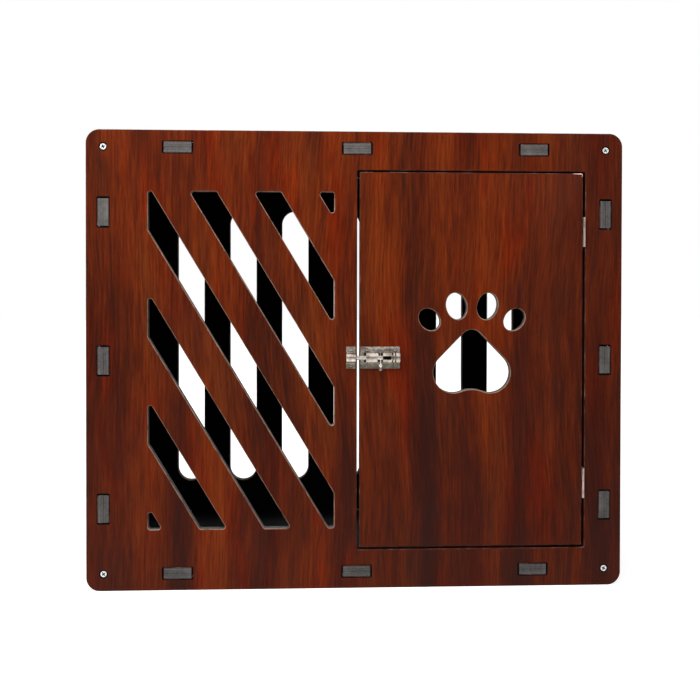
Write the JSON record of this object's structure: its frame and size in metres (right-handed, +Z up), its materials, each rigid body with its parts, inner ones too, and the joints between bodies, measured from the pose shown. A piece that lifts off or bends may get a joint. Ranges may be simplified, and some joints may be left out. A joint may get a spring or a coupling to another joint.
{
  "type": "outdoor cat house",
  "caption": "Flat-pack outdoor cat house of tab-and-slot boards with leaning vent slots, a hinged door with a paw-shaped window and a barrel bolt.",
  "frame": {"origin": "on the ground, under the middle of the whole width and depth, latch included", "axes": "+X to the right seen from the front, +Y from the front panel to the back panel, +Z up"},
  "size_m": [0.68, 0.391, 0.58],
  "materials": {
    "laminated_board": "mahogany wood-grain film outside, black inside, grey core at the cut edges",
    "hinge_steel": "bright zinc plate",
    "latch_steel": "bright nickel plate",
    "screw_steel": "zinc plate"
  },
  "bodies": {
    "cabin": {"front_panel": "laminated_board", "back_panel": "laminated_board", "left_side_panel": "laminated_board", "right_side_panel": "laminated_board", "roof_panel": "laminated_board", "floor_panel": "laminated_board", "front_corner_screws": "screw_steel", "back_corner_screws": "screw_steel", "upper_hinge_frame_leaf": "hinge_steel", "lower_hinge_frame_leaf": "hinge_steel", "upper_hinge_pin": "hinge_steel", "lower_hinge_pin": "hinge_steel", "upper_hinge_frame_screws": "screw_steel", "lower_hinge_frame_screws": "screw_steel", "latch_keeper": "latch_steel", "latch_keeper_screws": "screw_steel"},
    "door": {"door_panel": "laminated_board", "upper_hinge_door_leaf": "hinge_steel", "lower_hinge_door_leaf": "hinge_steel", "upper_hinge_door_screws": "screw_steel", "lower_hinge_door_screws": "screw_steel", "latch_base": "latch_steel", "latch_base_screws": "screw_steel"},
    "bolt": {"latch_bolt_rod": "latch_steel"},
    "knob": {"latch_knob": "latch_steel"}
  },
  "joints": [
    {"name": "door_hinge", "type": "hinge", "parent": "cabin", "child": "door", "pos_m": [0.2908, -0.1864, 0.29], "axis": [0, 0, 1], "range_deg": [0, 175]},
    {"name": "bolt_slide", "type": "slide", "parent": "door", "child": "bolt", "axis": [1, 0, 0], "range_m": [-0.003, 0.012]},
    {"name": "knob_turn", "type": "hinge", "parent": "bolt", "child": "knob", "pos_m": [0.0297, -0.19012, 0.2936], "axis": [-1, 0, 0], "range_deg": [0, 90]}
  ]
}
